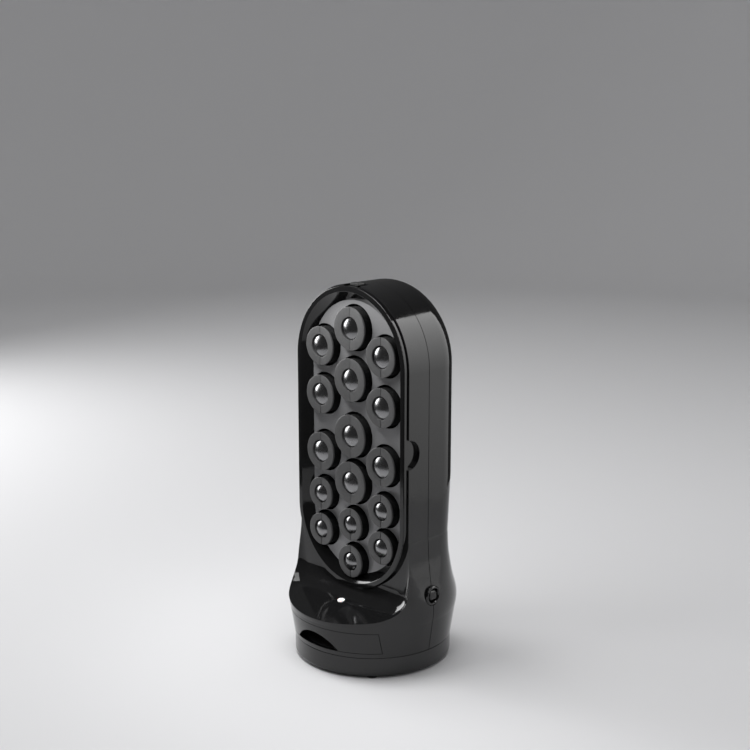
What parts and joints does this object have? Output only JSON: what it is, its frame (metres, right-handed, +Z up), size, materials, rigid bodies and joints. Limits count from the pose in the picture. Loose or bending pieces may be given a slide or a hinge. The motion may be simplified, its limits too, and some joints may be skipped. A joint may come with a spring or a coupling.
{
  "type": "heated hair roller set",
  "caption": "Upright heater for hair rollers: round foot, arched housing, rimmed tray of flocked rollers on heated posts, scooped bowl and a curved drawer below.",
  "frame": {"origin": "middle of the underside, on the surface that the feet rest on", "axes": "+Z up; -Y to the front, where the rollers and the drawer are; +X to the right seen from the front"},
  "size_m": [0.151, 0.1505, 0.3368],
  "materials": {
    "housing": "gloss",
    "tray": "gloss",
    "trim": "satin",
    "deck": "satin",
    "heater": "satin",
    "element": "satin",
    "shield": "satin",
    "ceramic": "satin",
    "fastener": "satin",
    "control": "satin",
    "cap": "polished",
    "base": "satin",
    "foot": "matte",
    "inner": "satin",
    "switch": "gloss",
    "lens": "gloss",
    "lamp": "clear",
    "flock": "flocked",
    "ring": "satin"
  },
  "bodies": {
    "root": {"base_ring": "base", "bottom_cover": "base", "cord_inlet": "trim", "cover_screws": "fastener", "deck_pillars": "fastener", "deck_plate": "deck", "drawer_shelf": "inner", "front_housing": "housing", "heat_shield": "shield", "heater_plate": "heater", "heating_element": "element", "heating_posts": "heater", "pilot_lamp": "lamp", "pilot_lens": "lens", "post_caps": "cap", "rear_housing": "housing", "roller_tray": "tray", "rubber_feet": "foot", "shield_spacers": "ceramic", "stack_screws": "fastener", "switch_bezel": "switch", "switch_body": "switch", "terminal_block": "inner", "thermal_fuse": "control", "thermostat": "control"},
    "drawer": {"drawer": "housing"},
    "switch_rocker": {"switch_rocker": "switch"},
    "latch_button": {"latch_button": "trim"},
    "roller_left_1": {"roller_barrel_left_1": "flock", "roller_rings_left_1": "ring"},
    "roller_left_2": {"roller_barrel_left_2": "flock", "roller_rings_left_2": "ring"},
    "roller_left_3": {"roller_barrel_left_3": "flock", "roller_rings_left_3": "ring"},
    "roller_left_4": {"roller_barrel_left_4": "flock", "roller_rings_left_4": "ring"},
    "roller_left_5": {"roller_barrel_left_5": "flock", "roller_rings_left_5": "ring"},
    "roller_middle_1": {"roller_barrel_middle_1": "flock", "roller_rings_middle_1": "ring"},
    "roller_middle_2": {"roller_barrel_middle_2": "flock", "roller_rings_middle_2": "ring"},
    "roller_middle_3": {"roller_barrel_middle_3": "flock", "roller_rings_middle_3": "ring"},
    "roller_middle_4": {"roller_barrel_middle_4": "flock", "roller_rings_middle_4": "ring"},
    "roller_middle_5": {"roller_barrel_middle_5": "flock", "roller_rings_middle_5": "ring"},
    "roller_middle_6": {"roller_barrel_middle_6": "flock", "roller_rings_middle_6": "ring"},
    "roller_right_1": {"roller_barrel_right_1": "flock", "roller_rings_right_1": "ring"},
    "roller_right_2": {"roller_barrel_right_2": "flock", "roller_rings_right_2": "ring"},
    "roller_right_3": {"roller_barrel_right_3": "flock", "roller_rings_right_3": "ring"},
    "roller_right_4": {"roller_barrel_right_4": "flock", "roller_rings_right_4": "ring"},
    "roller_right_5": {"roller_barrel_right_5": "flock", "roller_rings_right_5": "ring"}
  },
  "joints": [
    {"name": "drawer_slide", "type": "slide", "parent": "root", "child": "drawer", "axis": [0, -1, 0], "range_m": [0, 0.05]},
    {"name": "switch_tilt", "type": "hinge", "parent": "root", "child": "switch_rocker", "pos_m": [0.0702, 0, 0.0695], "axis": [0, 1, 0], "range_deg": [0, 14]},
    {"name": "latch_press", "type": "slide", "parent": "root", "child": "latch_button", "axis": [0, 0, -1], "range_m": [0, 0.0018], "stiffness_N_per_m": 300},
    {"name": "roller_left_1_lift", "type": "slide", "parent": "root", "child": "roller_left_1", "axis": [0, -1, 0], "range_m": [0, 0.106]},
    {"name": "roller_left_2_lift", "type": "slide", "parent": "root", "child": "roller_left_2", "axis": [0, -1, 0], "range_m": [0, 0.106]},
    {"name": "roller_left_3_lift", "type": "slide", "parent": "root", "child": "roller_left_3", "axis": [0, -1, 0], "range_m": [0, 0.106]},
    {"name": "roller_left_4_lift", "type": "slide", "parent": "root", "child": "roller_left_4", "axis": [0, -1, 0], "range_m": [0, 0.106]},
    {"name": "roller_left_5_lift", "type": "slide", "parent": "root", "child": "roller_left_5", "axis": [0, -1, 0], "range_m": [0, 0.106]},
    {"name": "roller_middle_1_lift", "type": "slide", "parent": "root", "child": "roller_middle_1", "axis": [0, -1, 0], "range_m": [0, 0.106]},
    {"name": "roller_middle_2_lift", "type": "slide", "parent": "root", "child": "roller_middle_2", "axis": [0, -1, 0], "range_m": [0, 0.106]},
    {"name": "roller_middle_3_lift", "type": "slide", "parent": "root", "child": "roller_middle_3", "axis": [0, -1, 0], "range_m": [0, 0.106]},
    {"name": "roller_middle_4_lift", "type": "slide", "parent": "root", "child": "roller_middle_4", "axis": [0, -1, 0], "range_m": [0, 0.106]},
    {"name": "roller_middle_5_lift", "type": "slide", "parent": "root", "child": "roller_middle_5", "axis": [0, -1, 0], "range_m": [0, 0.106]},
    {"name": "roller_middle_6_lift", "type": "slide", "parent": "root", "child": "roller_middle_6", "axis": [0, -1, 0], "range_m": [0, 0.106]},
    {"name": "roller_right_1_lift", "type": "slide", "parent": "root", "child": "roller_right_1", "axis": [0, -1, 0], "range_m": [0, 0.106]},
    {"name": "roller_right_2_lift", "type": "slide", "parent": "root", "child": "roller_right_2", "axis": [0, -1, 0], "range_m": [0, 0.106]},
    {"name": "roller_right_3_lift", "type": "slide", "parent": "root", "child": "roller_right_3", "axis": [0, -1, 0], "range_m": [0, 0.106]},
    {"name": "roller_right_4_lift", "type": "slide", "parent": "root", "child": "roller_right_4", "axis": [0, -1, 0], "range_m": [0, 0.106]},
    {"name": "roller_right_5_lift", "type": "slide", "parent": "root", "child": "roller_right_5", "axis": [0, -1, 0], "range_m": [0, 0.106]}
  ]
}
